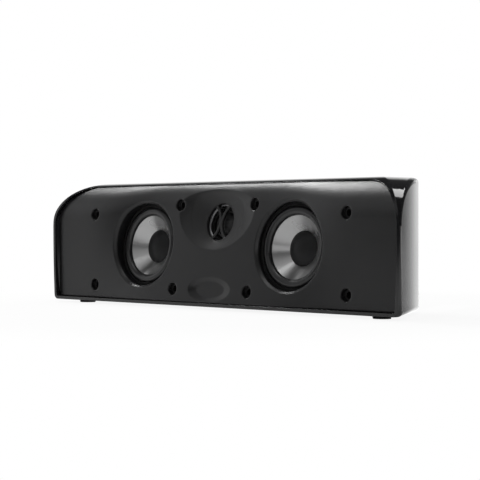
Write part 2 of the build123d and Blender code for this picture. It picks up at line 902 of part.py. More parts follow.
def damping_pads():
    depth = back_y - cabinet_wall - pad_size[1] / 2
    middle = floor_z + cabinet_height / 2
    return group(Pos(side * pad_place, depth, middle) * Box(*pad_size) for side in (-1, 1))


os.makedirs("parts", exist_ok=True)
save("cabinet_shell", cabinet_shell())
save("front_baffle", front_baffle())
save("grille_grommets", grille_grommets())
save("case_screws", case_screw_set())
for end, side in (("left", -1), ("right", 1)):
    for piece, make in woofer_pieces.items():
        save(end + "_woofer_" + piece, woofer_frame(side) * make())
    save("front_" + end + "_foot", foot(front_foot_inset, front_foot_setback, side))
    save("rear_" + end + "_foot", foot(rear_foot_inset, rear_foot_setback, side))
for piece, make in tweeter_pieces.items():
    save("tweeter_" + piece, tweeter_frame() * make())
save("terminal_plate", terminal_plate())
for colour, side in (("red", 1), ("black", -1)):
    save(colour + "_post_base", post_frame(side) * post_base())
    save(colour + "_post_cap", post_frame(side) * post_cap())
save("post_studs", group(post_frame(side) * post_stud() for side in (-1, 1)))
save("post_nuts", group(post_frame(side) * post_nut() for side in (-1, 1)))
save("terminal_screws", terminal_screw_set())
save("threaded_insert", threaded_insert())
save("crossover_board", crossover_board())
save("crossover_capacitors", capacitors())
save("crossover_inductors", inductors())
save("crossover_resistor", resistor())
save("crossover_screws", board_screw_set())
save("damping_pads", damping_pads())
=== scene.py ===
# %% [markdown]
# # Dressing a center channel speaker
# The CAD model already fixes every size and every moving body. This lesson loads it as a frame that is
# never moved, and then works through what the eye judges: the camera, the studio, and one finish at a
# time.

# %% Load the frame
import json
from math import cos, degrees, pi, radians, sin, sqrt

import bmesh
import bpy
import numpy as np
from mathutils import Matrix, Vector


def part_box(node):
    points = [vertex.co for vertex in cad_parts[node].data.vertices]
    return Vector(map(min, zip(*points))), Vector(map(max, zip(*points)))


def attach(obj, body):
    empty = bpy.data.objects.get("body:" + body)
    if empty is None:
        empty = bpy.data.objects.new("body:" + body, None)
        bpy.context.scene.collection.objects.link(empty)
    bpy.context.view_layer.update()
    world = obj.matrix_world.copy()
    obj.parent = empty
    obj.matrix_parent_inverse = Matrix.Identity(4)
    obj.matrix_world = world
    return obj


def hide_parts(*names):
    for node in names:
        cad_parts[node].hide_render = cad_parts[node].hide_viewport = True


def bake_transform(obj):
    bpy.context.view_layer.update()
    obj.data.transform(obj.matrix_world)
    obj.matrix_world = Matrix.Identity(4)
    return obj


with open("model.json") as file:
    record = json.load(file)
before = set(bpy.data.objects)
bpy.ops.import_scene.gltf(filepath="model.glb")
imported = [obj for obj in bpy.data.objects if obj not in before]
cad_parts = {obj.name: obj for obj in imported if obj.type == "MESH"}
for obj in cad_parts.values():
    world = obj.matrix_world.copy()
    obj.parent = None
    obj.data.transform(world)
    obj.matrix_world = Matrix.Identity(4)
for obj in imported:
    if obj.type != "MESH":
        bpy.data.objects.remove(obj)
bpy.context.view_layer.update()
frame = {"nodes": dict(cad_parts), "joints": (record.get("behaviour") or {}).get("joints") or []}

MM = 0.001

# %% [markdown]
# ## Camera
# The picture was taken level with the speaker, about 46 degrees round to its right, from a little over a
# metre. A long lens keeps the far end from shrinking too much. The crop put the lens axis off the middle
# of the picture, so a small lens shift is the honest way to frame it: turning the camera would tilt the
# uprights.

# %% Place the camera
PHOTO_SIDE = 480
FOCAL_PX = 1554.0
AXIS_PX = (210.25, 224.0)
SENSOR_WIDTH = 36.0
CLIP_END = 50.0
VIEW_ANGLE = radians(46.4)
CAMERA_SIDE, CAMERA_AHEAD, CAMERA_HEIGHT = 0.8886, 0.842, 0.0679
lens = bpy.data.cameras.new("studio_camera")
lens.sensor_width = SENSOR_WIDTH
lens.lens = FOCAL_PX / PHOTO_SIDE * SENSOR_WIDTH
lens.shift_x = (PHOTO_SIDE / 2 - AXIS_PX[0]) / PHOTO_SIDE
lens.shift_y = (AXIS_PX[1] - PHOTO_SIDE / 2) / PHOTO_SIDE
lens.clip_end = CLIP_END
camera = bpy.data.objects.new("studio_camera", lens)
bpy.context.scene.collection.objects.link(camera)
front_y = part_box("cabinet_shell")[0].y
camera.location = (CAMERA_SIDE, front_y - CAMERA_AHEAD, CAMERA_HEIGHT)
camera.rotation_euler = (pi / 2, 0, VIEW_ANGLE)
bpy.context.scene.camera = camera
print("lens", round(lens.lens, 1), "mm, shift", round(lens.shift_x, 3), round(lens.shift_y, 3))

# %% [markdown]
# ## Node helpers
# Every finish below is a small node tree, and most of them need the same moves: a broad noise that tints
# the colour and breaks up the roughness, a fine grain for the bump, and a little rounding of sharp edges.
# No moulding has a perfectly sharp edge, and the thin bright line that a rounded edge catches is much of
# what makes a render look solid. The bevel node finds those edges while rendering, so the CAD mesh isn't
# touched. The floor's paper is the first finish made this way, and it needs neither bump nor rounding.

# %% Ramps and vector steps
SCALAR_STEPS = ("DOT_PRODUCT", "LENGTH")


def ramp(tree, value, start, stop, low=0.0, high=1.0, easing="SMOOTHSTEP"):
    """Map Range that runs from low to high while a value runs from start to stop."""
    node = tree.nodes.new("ShaderNodeMapRange")
    node.interpolation_type = easing
    for socket, level in {"From Min": start, "From Max": stop, "To Min": low, "To Max": high}.items():
        node.inputs[socket].default_value = level
    tree.links.new(value, node.inputs["Value"])
    return node.outputs["Result"]


def vector_step(tree, operation, vector, by=None):
    """Vector Math on a vector, with a fixed second vector where the operation takes one."""
    node = tree.nodes.new("ShaderNodeVectorMath")
    node.operation = operation
    tree.links.new(vector, node.inputs[0])
    if by is not None:
        node.inputs[1].default_value = by
    return node.outputs["Value" if operation in SCALAR_STEPS else "Vector"]


print("steps that give one number:", SCALAR_STEPS)

# %% Finish maker
DRIFT_DETAIL, GRAIN_DETAIL, BEVEL_SAMPLES = 4, 3, 6
NOISE_LOW, NOISE_HIGH = 0.3, 0.7


def make_finish(name, dark, light, rough, grain=None, bump=0.0, patch=40.0, edge=0.0, **sockets):
    """Node material: colour and roughness drift over a range, bump comes from a fine grain, if any."""
    material = bpy.data.materials.new(name)
    material.use_nodes = True
    tree = material.node_tree
    nodes = tree.nodes
    links = tree.links
    shader = nodes["Principled BSDF"]
    place = nodes.new("ShaderNodeTexCoord")
    drift = nodes.new("ShaderNodeTexNoise")
    drift.inputs["Scale"].default_value = patch
    drift.inputs["Detail"].default_value = DRIFT_DETAIL
    links.new(place.outputs["Object"], drift.inputs["Vector"])
    tint = nodes.new("ShaderNodeMix")
    tint.data_type = "RGBA"
    tint.inputs["A"].default_value = (*dark, 1)
    tint.inputs["B"].default_value = (*light, 1)
    links.new(drift.outputs["Fac"], tint.inputs["Factor"])
    links.new(tint.outputs["Result"], shader.inputs["Base Color"])
    spread = ramp(tree, drift.outputs["Fac"], NOISE_LOW, NOISE_HIGH, *rough, easing="LINEAR")
    links.new(spread, shader.inputs["Roughness"])
    relief = nodes.new("ShaderNodeBump")
    relief.name = "relief"
    relief.inputs["Distance"].default_value = bump
    links.new(relief.outputs["Normal"], shader.inputs["Normal"])
    if grain:
        fine = nodes.new("ShaderNodeTexNoise")
        fine.inputs["Scale"].default_value = grain
        fine.inputs["Detail"].default_value = GRAIN_DETAIL
        links.new(place.outputs["Object"], fine.inputs["Vector"])
        links.new(fine.outputs["Fac"], relief.inputs["Height"])
    if edge:
        rounding = nodes.new("ShaderNodeBevel")
        rounding.samples = BEVEL_SAMPLES
        rounding.inputs["Radius"].default_value = edge
        links.new(rounding.outputs["Normal"], relief.inputs["Normal"])
    for socket, value in sockets.items():
        shader.inputs[socket.replace("_", " ")].default_value = value
    return material


floor_paper = make_finish("floor_paper", (0.84, 0.84, 0.84), (0.88, 0.88, 0.88), (0.8, 0.95), patch=2.0)
print(floor_paper.name, len(floor_paper.node_tree.nodes), "nodes")

# %% [markdown]
# ## Studio
# The picture is a cut-out look: pure white behind and hardly any shadow, but the room on the camera's
# side was dim. Both can be had at once. A white backdrop stands behind the speaker, for the camera and
# for whatever reflects that way, while the rest of the sky is a grey room with one soft glow on the left.
# The floor is pale paper; close to the speaker a tenth of its own shading shows through, so a faint
# shadow stays under the feet, and further off it fades to plain white.


# %% Floor
def white_backdrop(tree, shader, share, seen_back):
    """Mixes a shader towards plain white where the camera, or a reflection of what is behind, looks at it."""
    nodes = tree.nodes
    links = tree.links
    path = nodes.new("ShaderNodeLightPath")
    white = nodes.new("ShaderNodeEmission")
    white.inputs["Color"].default_value = (1, 1, 1, 1)

    def join(operation, first, second):
        step = nodes.new("ShaderNodeMath")
        step.operation = operation
        step.use_clamp = True
        for socket, value in zip(step.inputs, (first, second)):
            if isinstance(value, float):
                socket.default_value = value
            else:
                links.new(value, socket)
        return step.outputs[0]

    mirrored = join("ADD", path.outputs["Is Glossy Ray"], path.outputs["Is Transmission Ray"])
    seen = join("ADD", path.outputs["Is Camera Ray"], join("MULTIPLY", mirrored, seen_back))
    mix = nodes.new("ShaderNodeMixShader")
    links.new(join("MULTIPLY", seen, share), mix.inputs["Fac"])
    links.new(shader.outputs[0], mix.inputs[1])
    links.new(white.outputs[0], mix.inputs[2])
    return mix.outputs[0]


FLOOR_SIZE = 24.0
SHADOW_NEAR, SHADOW_FAR, WHITE_NEAR = 0.22, 0.42, 0.9
AHEAD = (-sin(VIEW_ANGLE), cos(VIEW_ANGLE), 0)
tree = floor_paper.node_tree
spot = tree.nodes.new("ShaderNodeTexCoord").outputs["Object"]
fade = ramp(tree, vector_step(tree, "LENGTH", spot), SHADOW_NEAR, SHADOW_FAR, low=WHITE_NEAR)
back = ramp(tree, vector_step(tree, "DOT_PRODUCT", spot, AHEAD), SHADOW_NEAR, SHADOW_FAR)
mixed = white_backdrop(tree, tree.nodes["Principled BSDF"], fade, back)
tree.links.new(mixed, tree.nodes["Material Output"].inputs["Surface"])
bpy.ops.mesh.primitive_plane_add(size=FLOOR_SIZE)
floor = bpy.context.object
floor.name = "floor"
floor.data.materials.append(floor_paper)
print(floor.name, FLOOR_SIZE, "m, plain white from", SHADOW_FAR, "m out")

# %% [markdown]
# ### Sky
# Gloss and satin black show little but what is round them, so the sky's level is what sets their greys.
# An even sky would leave the left of the speaker flat. Comparing each direction with one chosen direction
# gives a soft glow there without another lamp, and the same comparison with the camera's own direction
# gives the backdrop.

# %% Sky
GLOW_SIDE = Vector((-0.885, -0.40, 0.25)).normalized()
GLOW_START, GLOW_FULL = 0.87, 1.0
ROOM_LEVEL, GLOW_LEVEL = 0.06, 1.0
ROOM_TINT = (0.99, 0.99, 1.0, 1)
BACK_START, BACK_FULL = 0.88, 0.97
sky = bpy.data.worlds.new("dim_room")
sky.use_nodes = True
bpy.context.scene.world = sky
tree = sky.node_tree
room = tree.nodes["Background"]
room.inputs["Color"].default_value = ROOM_TINT
way = tree.nodes.new("ShaderNodeTexCoord").outputs["Generated"]
side = vector_step(tree, "DOT_PRODUCT", way, GLOW_SIDE)
level = ramp(tree, side, GLOW_START, GLOW_FULL, ROOM_LEVEL, GLOW_LEVEL)
tree.links.new(level, room.inputs["Strength"])
back = ramp(tree, vector_step(tree, "DOT_PRODUCT", way, AHEAD), BACK_START, BACK_FULL)
mixed = white_backdrop(tree, room, 1.0, back)
tree.links.new(mixed, tree.nodes["World Output"].inputs["Surface"])
bpy.context.scene.view_settings.view_transform = "Standard"
print(sky.name, "level", ROOM_LEVEL, "glow", GLOW_LEVEL)

# %% [markdown]
# ### Lamps
# On a black thing a lamp counts mostly by the highlight it makes, so each one here is placed for its
# highlight: the band on the rolled edge, the sheen of the top, the fans on the cones, a small glint. Each
# is set by its radiance, which is how bright it looks in a reflection, and not by its power. A panel can
# then be made wider without its highlight growing dimmer.


# %% Soft panels
def soft_panel(name, place, aim, size, radiance):
    """Area lamp of a given radiance, so its brightness in a reflection doesn't change with its size."""
    lamp = bpy.data.lights.new(name, "AREA")
    lamp.shape = "RECTANGLE"
    lamp.size, lamp.size_y = size
    lamp.energy = radiance * pi * size[0] * size[1]
    panel = bpy.data.objects.new(name, lamp)
    panel.location = place
    panel.rotation_euler = (Vector(aim) - Vector(place)).to_track_quat("-Z", "Y").to_euler()
    panel.visible_camera = False
    bpy.context.scene.collection.objects.link(panel)


ROLL_AIM, FRONT_AIM, FLOOR_AIM, EDGE_AIM = (0, 0, 0.1), (0, 0, 0.05), (0, 0, 0), (0.1, 0, 0.1)
soft_panel("roll_panel", place=(-1.04, 0.14, 1.17), aim=ROLL_AIM, size=(0.62, 0.24), radiance=22.0)
soft_panel("fill_panel", place=(-1.03, -0.34, 1.05), aim=ROLL_AIM, size=(0.2, 0.22), radiance=2.5)
soft_panel("top_panel", place=(0.1, 0.1, 1.9), aim=FLOOR_AIM, size=(1.5, 1.5), radiance=2.6)
soft_panel("front_panel", place=(-0.05, -1.1, 1.0), aim=FRONT_AIM, size=(1.6, 1.2), radiance=0.5)
soft_panel("fan_panel", place=(0.0, -1.0, 1.1), aim=FRONT_AIM, size=(0.05, 0.3), radiance=4.0)
soft_panel("glint_panel", place=(0.12, -1.3, 0.16), aim=FRONT_AIM, size=(0.1, 0.1), radiance=6.0)
soft_panel("edge_panel", place=(0.15, 1.35, 1.2), aim=EDGE_AIM, size=(0.5, 0.5), radiance=4.0)
soft_panel("camera_panel", place=(1.25, -1.15, 0.35), aim=FRONT_AIM, size=(0.5, 0.5), radiance=2.0)

# %% [markdown]
# ### A strip for the flank
# The right flank is a flat mirror seen at a grazing angle, so all of it looks in nearly the same
# direction and would come out as one flat tone. A narrow strip stood close behind it, bright on one side
# and dark on the other, gives the flank its gradient: each point of the flank looks at a different place
# on the strip. The foot of the strip bends forward just above the floor, so what looks down at the floor
# sees the same gradient.

# %% Glow strip for the flank
STRIP_DARK, STRIP_BRIGHT, GLOW_HALF = 0.18, 1.5, 0.0061
strip_glow = bpy.data.materials.new("strip_glow")
strip_glow.use_nodes = True
tree = strip_glow.node_tree
tree.nodes.remove(tree.nodes["Principled BSDF"])
across = tree.nodes.new("ShaderNodeSeparateXYZ")
tree.links.new(tree.nodes.new("ShaderNodeTexCoord").outputs["Object"], across.inputs[0])
run = ramp(tree, across.outputs["X"], GLOW_HALF, -GLOW_HALF, easing="LINEAR")
grow = tree.nodes.new("ShaderNodeMath")
grow.operation = "POWER"
grow.inputs[0].default_value = STRIP_BRIGHT / STRIP_DARK
tree.links.new(run, grow.inputs[1])
scale = tree.nodes.new("ShaderNodeMath")
scale.operation = "MULTIPLY"
scale.inputs[1].default_value = STRIP_DARK
tree.links.new(grow.outputs[0], scale.inputs[0])
glow = tree.nodes.new("ShaderNodeEmission")
tree.links.new(scale.outputs[0], glow.inputs["Strength"])
tree.links.new(glow.outputs[0], tree.nodes["Material Output"].inputs["Surface"])
print(strip_glow.name, "from", STRIP_DARK, "to", STRIP_BRIGHT)

# %% Stand the strip up
FLANK_TURN = radians(21.39)
STRIP_BACK, STRIP_OUT, STRIP_HEIGHT = 0.1, 0.1555, 0.1
STRIP_TOP, STRIP_FOOT, APRON = 0.025, -0.0995, 0.2
STRIP_SIDES = (-0.03, 0.012)
flank_look = Vector((-sin(FLANK_TURN), cos(FLANK_TURN), 0))
flank_side = Vector((cos(FLANK_TURN), sin(FLANK_TURN), 0))
rows = ((STRIP_TOP, 0), (STRIP_FOOT, 0), (STRIP_FOOT, APRON))
bend = [(x, y, z) for y, z in rows for x in STRIP_SIDES]
sheet = bpy.data.meshes.new("flank_strip")
sheet.from_pydata(bend, [], [(0, 1, 3, 2), (2, 3, 5, 4)])
sheet.materials.append(strip_glow)
strip = bpy.data.objects.new("flank_strip", sheet)
bpy.context.scene.collection.objects.link(strip)
turn = Matrix((flank_side, Vector((0, 0, 1)), -flank_look)).transposed()
middle = flank_look * STRIP_BACK + flank_side * STRIP_OUT + Vector((0, 0, STRIP_HEIGHT))
strip.matrix_world = Matrix.Translation(middle) @ turn.to_4x4()
strip.visible_camera = strip.visible_diffuse = strip.visible_shadow = False
print("strip at", [round(v, 3) for v in middle])

# %% [markdown]
# ## Cabinet: gloss black moulding
# The cabinet is injection moulded and polished, so it is nearly a mirror with a black body. A mirror with
# no flaw looks like glass; real mouldings have a faint orange peel from the tool and a little haze where
# hands have been. Both come from noise: a very shallow bump, and a roughness that drifts by a few
# hundredths.


# %% Gloss finish
def dress(material, *names):
    """Gives CAD nodes a finish."""
    for name in names:
        for slot in frame["nodes"][name].material_slots:
            slot.material = material
    print(material.name, "on", ", ".join(names))


gloss_black = make_finish("gloss_black", (0.004, 0.004, 0.0045), (0.007, 0.007, 0.008), (0.05, 0.1), 260.0,
                          bump=0.0000015, patch=14.0, edge=0.0002)
dress(gloss_black, "cabinet_shell")

# %% [markdown]
# ## Baffle: satin black moulding
# The baffle has a fine spark-eroded texture that scatters light, so the room shows only as a soft grey
# and the panel on the left as a wide band on the roll. A middling roughness with a bump of a hundredth of
# a millimetre gives that; the grain is set so that it reads as texture close up and as satin from afar.

# %% Satin finish
satin_black = make_finish("satin_black", (0.006, 0.006, 0.0064), (0.0085, 0.0085, 0.009), (0.3, 0.36), 2600.0,
                          bump=0.00001, patch=30.0, edge=0.0018, Specular_IOR_Level=0.4)
dress(satin_black, "front_baffle")

# %% [markdown]
# ### Inside the waveguide
# The oval flare round the tweeter is a little duller than the face, as if that part of the tool were
# coarser. A second material would end in a hard line. Instead the same one measures how far each point is
# from the middle of the tweeter's plate, in an oval as wide and high as the flare, and adds roughness
# that eases in from the oval's edge.

# %% Duller flare
FLARE_HALF_WIDTH, FLARE_HALF_HEIGHT = 42 * MM, 28.4 * MM
DULL_START, DULL_FULL, DULL_EXTRA = 1.0, 0.7, 0.16
low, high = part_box("tweeter_faceplate")
plate_middle = (low + high) / 2
tree = satin_black.node_tree
spot = tree.nodes.new("ShaderNodeTexCoord").outputs["Object"]
local = vector_step(tree, "SUBTRACT", spot, plate_middle)
oval = vector_step(tree, "MULTIPLY", local, (1 / FLARE_HALF_WIDTH, 0, 1 / FLARE_HALF_HEIGHT))
dull = ramp(tree, vector_step(tree, "LENGTH", oval), DULL_START, DULL_FULL, high=DULL_EXTRA)
total = tree.nodes.new("ShaderNodeMath")
rough = tree.nodes["Principled BSDF"].inputs["Roughness"]
tree.links.new(rough.links[0].from_socket, total.inputs[0])
tree.links.new(dull, total.inputs[1])
tree.links.new(total.outputs[0], rough)
print("roughness grows by", DULL_EXTRA, "round", [round(v, 4) for v in plate_middle])

# %% [markdown]
# ## Turned pieces
# Cones, surrounds, spiders and the tweeter's lining are all turned shapes, so one function spins a
# profile about an axis. Each piece is built in a frame of its own whose Z runs along the driver. That is
# worth the trouble: a finish can then ask for the distance from the axis, and a spinning tool leaves its
# marks as rings of one distance each.

# %% Spin a profile
CREASE = radians(35)


def wall(shape, low, high):
    """Joins two rings of as many points each by a band of four-sided faces."""
    for i in range(len(low)):
        j = (i + 1) % len(low)
        shape.faces.new((low[i], low[j], high[j], high[i]))


def turned(name, profile, axis, steps=160):
    """Mesh object turned about Z from (radius, height) points in millimetres, placed by a matrix.

    A profile that ends where it starts is closed on its first ring.
    """
    mesh = bpy.data.meshes.new(name)
    shape = bmesh.new()
    angles = [2 * pi * i / steps for i in range(steps)]
    rings = []
    for radius, height in profile:
        if rings and (radius, height) == profile[0]:
            rings.append(rings[0])
            continue
        circle = [(radius * MM * cos(a), radius * MM * sin(a), height * MM) for a in angles]
        rings.append([shape.verts.new(point) for point in circle])
    for low, high in zip(rings, rings[1:]):
        wall(shape, low, high)
    shape.to_mesh(mesh)
    shape.free()
    mesh.shade_smooth()
    mesh.set_sharp_from_angle(angle=CREASE)
    piece = bpy.data.objects.new(name, mesh)
    piece.matrix_world = axis
    bpy.context.scene.collection.objects.link(piece)
    return piece


print("creases past", round(degrees(CREASE)), "degrees stay sharp")

# %% Driver axes
GASKET_MIDDLE = 0.8
ENDS = ("left", "right")


def joint_axis(child):
    """Direction in which a body slides."""
    return next(Vector(j["axis"]) for j in frame["joints"] if j["child"] == child)


def driver_axis(end):
    """Frame of a woofer: Z out along its slide, origin in the plane of the cone's front edge."""
    out = joint_axis(end + "_cone").normalized()
    across = (Vector((1, 0, 0)) - out * out.x).normalized()
    up = out.cross(across)
    low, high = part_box(end + "_woofer_gasket")
    turn = Matrix((across, up, out)).transposed()
    return Matrix.Translation((low + high) / 2 - out * GASKET_MIDDLE * MM) @ turn.to_4x4()


axes = {end: driver_axis(end) for end in ENDS}
print({end: [round(v, 4) for v in axes[end].translation] for end in ENDS})

# %% [markdown]
# ## Cones: spun aluminium
# A metal cone is spun or pressed and then satin finished on a turntable, which leaves thousands of fine
# rings. Across those rings light spreads wide, along them hardly at all, so the highlight opens into fans
# that meet at the middle. Two things make that here: a noise that depends only on the distance from the
# axis, for the rings themselves, and an anisotropic shader whose tangent runs round the axis, for the
# fans. The shader draws a highlight out along its tangent, so a quarter turn is set to draw it out across
# the rings instead.

# %% Tool marks round an axis
QUARTER_TURN = 0.25
RING_PITCH, RING_DEPTH, FAN_STRETCH = 0.35, 0.0012, 0.6


def turn_marks(material, pitch, depth, stretch):
    """Gives a finish rings about the piece's Z for its bump, and stretches its highlight across them."""
    tree = material.node_tree
    nodes = tree.nodes
    shader = nodes["Principled BSDF"]
    place = nodes.new("ShaderNodeTexCoord").outputs["Object"]
    reach = vector_step(tree, "LENGTH", vector_step(tree, "MULTIPLY", place, (1, 1, 0)))
    rings = nodes.new("ShaderNodeTexNoise")
    rings.noise_dimensions = "1D"
    rings.inputs["Scale"].default_value = 1 / (pitch * MM)
    rings.inputs["Detail"].default_value = GRAIN_DETAIL
    tree.links.new(reach, rings.inputs["W"])
    relief = nodes["relief"]
    relief.inputs["Distance"].default_value = depth * MM
    tree.links.new(rings.outputs["Fac"], relief.inputs["Height"])
    tangent = nodes.new("ShaderNodeTangent")
    tangent.direction_type = "RADIAL"
    tangent.axis = "Z"
    tree.links.new(tangent.outputs["Tangent"], shader.inputs["Tangent"])
    shader.inputs["Anisotropic"].default_value = stretch
    shader.inputs["Anisotropic Rotation"].default_value = QUARTER_TURN


cone_silver = make_finish("cone_silver", (0.37, 0.37, 0.37), (0.43, 0.43, 0.43), (0.26, 0.32), Metallic=1.0)
turn_marks(cone_silver, RING_PITCH, RING_DEPTH, FAN_STRETCH)
print(cone_silver.name, "rings every", RING_PITCH, "mm")

# %% Cones
NECK, CONE_EDGE, CONE_LIP = (10.15, -11.571), (24.6, -0.3), (26.2, -0.3)
LIP_SKIN, SLANT_SKIN = 0.5, 0.65
cone_front = [NECK, CONE_EDGE, CONE_LIP]
cone_back = [(CONE_LIP[0], CONE_LIP[1] - LIP_SKIN), (CONE_EDGE[0], CONE_EDGE[1] - SLANT_SKIN)]
cone_back.append((NECK[0], NECK[1] - SLANT_SKIN))
for end in ENDS:
    cone = turned(end + "_spun_cone", [*cone_front, *cone_back, NECK], axes[end])
    cone.data.materials.append(cone_silver)
    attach(cone, end + "_cone")
    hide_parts(end + "_woofer_cone")
    print(cone.name, len(cone.data.polygons), "faces")

# %% [markdown]
# ## Dust caps: satin black
# The cap is pressed from thin sheet and painted. It sits in the brightest part of the driver, so it is
# kept very dark and only a little shiny: a soft sheen towards the light is all that shows its dome.

# %% Dust caps
cap_black = make_finish("cap_black", (0.005, 0.005, 0.0055), (0.008, 0.008, 0.0085), (0.44, 0.52), 1500.0,
                        bump=0.000006, patch=60.0, Specular_IOR_Level=0.25)
dress(cap_black, *(end + "_woofer_dust_cap" for end in ENDS))

# %% [markdown]
# ## Surrounds: moulded rubber that bends
# The surround is a half roll of rubber, glued to the cone on its inside and clamped on its outside. When
# the cone moves it must stretch between the two.


# %% Roll profile
def flex(piece):
    """Bakes the piece's placement into its mesh."""
    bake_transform(piece)


def half_roll(inside, outside, base, rise, points=28):
    """Points of a half oval standing on a base line, from the inside to the outside."""
    middle, radius = (inside + outside) / 2, (outside - inside) / 2
    angles = [pi * (1 - i / points) for i in range(points + 1)]
    return [(middle + radius * cos(a), base + rise * sin(a)) for a in angles]


ROLL_INSIDE, GLUE_EDGE, ROLL_OUTSIDE, ROLL_EDGE = 25.0, 26.2, 31.4, 33.97
SEAT, SKIN, ROLL_RISE = -0.15, 0.7, 2.6
over = [(CONE_EDGE[0], SEAT), (CONE_EDGE[0], SEAT + SKIN)]
over += half_roll(ROLL_INSIDE, ROLL_OUTSIDE, SEAT + SKIN, ROLL_RISE)
under = half_roll(GLUE_EDGE + SKIN, ROLL_OUTSIDE - SKIN, SEAT, ROLL_RISE)
roll_loop = [*over, (ROLL_EDGE, SEAT + SKIN), (ROLL_EDGE, SEAT), *reversed(under), over[0]]
print("roll of", len(roll_loop) - 1, "points,", ROLL_RISE, "mm high")

# %% Surrounds
surround_rubber = make_finish("surround_rubber", (0.008, 0.008, 0.0085), (0.013, 0.013, 0.0135), (0.26, 0.33),
                              1800.0, bump=0.00001, patch=80.0)
for end in ENDS:
    roll = turned(end + "_rubber_roll", roll_loop, axes[end])
    roll.data.materials.append(surround_rubber)
    flex(roll)
    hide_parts(end + "_woofer_surround")

# %% [markdown]
# ## Gaskets, sockets and feet: foam and rubber
# The soft pieces are nearly black and scatter almost everything. Foam gets the deepest grain and hardly
# any shine, the socket rubber is the smoothest of the three, and the feet get a moulded grain that keeps
# them from looking like ink.

# %% Soft pieces
gasket_foam = make_finish("gasket_foam", (0.004, 0.004, 0.004), (0.008, 0.008, 0.008), (0.75, 0.9), 2200.0,
                          bump=0.00006, patch=120.0, Specular_IOR_Level=0.2)
dress(gasket_foam, *(end + "_woofer_gasket" for end in ENDS))
rubber_black = make_finish("rubber_black", (0.007, 0.007, 0.007), (0.012, 0.012, 0.012), (0.5, 0.65), 1600.0,
                           bump=0.00003, patch=90.0, edge=0.0003)
dress(rubber_black, *(row + end + "_foot" for row in ("front_", "rear_") for end in ENDS))
socket_rubber = make_finish("socket_rubber", (0.006, 0.006, 0.006), (0.009, 0.009, 0.009), (0.34, 0.42),
                            1600.0, bump=0.00001, patch=90.0, edge=0.0004, Specular_IOR_Level=0.4)
dress(socket_rubber, "grille_grommets")

# %% [markdown]
# ## Tweeter: black plate, metal lining and cloth dome
# Behind the bowed guard sits a dome of coated cloth in a black plate. A thin ring of dull metal lines the
# throat, and is what glints at its edge; it is turned with a rounded lip so that the glint is a soft
# line. The cloth is a weave: two sets of fine waves crossed at right angles make its bump.

# %% Weave
WAVE_PERIOD, THREAD_WANDER = 0.314, 0.4
DOME_PITCH, DOME_DEPTH = 0.35, 0.03


def weave(material, pitch, depth):
    """Gives a finish two crossed sets of waves for its bump."""
    nodes = material.node_tree.nodes
    links = material.node_tree.links
    place = nodes.new("ShaderNodeTexCoord")
    crossed = nodes.new("ShaderNodeMath")
    crossed.operation = "MAXIMUM"
    for direction, socket in zip(("X", "Z"), crossed.inputs):
        wave = nodes.new("ShaderNodeTexWave")
        wave.bands_direction = direction
        wave.inputs["Scale"].default_value = WAVE_PERIOD / (pitch * MM)
        wave.inputs["Distortion"].default_value = THREAD_WANDER
        links.new(place.outputs["Object"], wave.inputs["Vector"])
        links.new(wave.outputs["Fac"], socket)
    relief = nodes["relief"]
    relief.inputs["Distance"].default_value = depth * MM
    links.new(crossed.outputs[0], relief.inputs["Height"])


dome_film = make_finish("dome_film", (0.003, 0.003, 0.0035), (0.005, 0.005, 0.0055), (0.45, 0.6), patch=150.0)
weave(dome_film, DOME_PITCH, DOME_DEPTH)
dress(dome_film, "tweeter_dome")

# %% Plate and throat lining
THROAT_TILT = radians(13.0)
LINER_RADIUS, LINER_FOOT, LINER_TOP, BEAD, BEAD_POINTS = 14.9, 1.3, 4.7, 1.8, 13
plate_black = make_finish("plate_black", (0.006, 0.006, 0.006), (0.010, 0.010, 0.010), (0.4, 0.5), 1300.0,
                          bump=0.00001, edge=0.0002, Specular_IOR_Level=0.3)
dress(plate_black, "tweeter_faceplate")
plate_silver = make_finish("plate_silver", (0.12, 0.12, 0.124), (0.17, 0.17, 0.174), (0.28, 0.36), 1200.0,
                           bump=0.000002, Metallic=1.0)
out = Vector((0, -cos(THROAT_TILT), sin(THROAT_TILT)))
across = Vector((1, 0, 0))
turn = Matrix((across, out.cross(across), out)).transposed()
throat_axis = Matrix.Translation(plate_middle) @ turn.to_4x4()
bends = np.linspace(0, pi / 2, BEAD_POINTS)
bead = [(LINER_RADIUS - BEAD * cos(a), LINER_TOP - BEAD + BEAD * sin(a)) for a in bends]
liner = turned("throat_liner", [(LINER_RADIUS, LINER_FOOT), (bead[0][0], LINER_FOOT), *bead], throat_axis)
liner.data.materials.append(plate_silver)
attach(liner, "cabinet")
print(liner.name, "at", [round(v, 4) for v in throat_axis.translation])

# %% [markdown]
# ## Back: terminals
# The terminal plate is a plain grained moulding. Two binding posts stand on it: glossy red and black caps
# with grip flutes over gold-plated studs. The small screws get a domed edge and a real cross recess,
# because four plain discs on a back panel are what gives a model away.

# %% Cross-head screws
ARM_SHARE, SLOT_SHARE, HEAD_STEPS = 0.56, 0.17, 48
HEAD_LEVELS = ((1.0, 0.0), (1.0, 0.55), (0.93, 0.82), (0.76, 1.0))


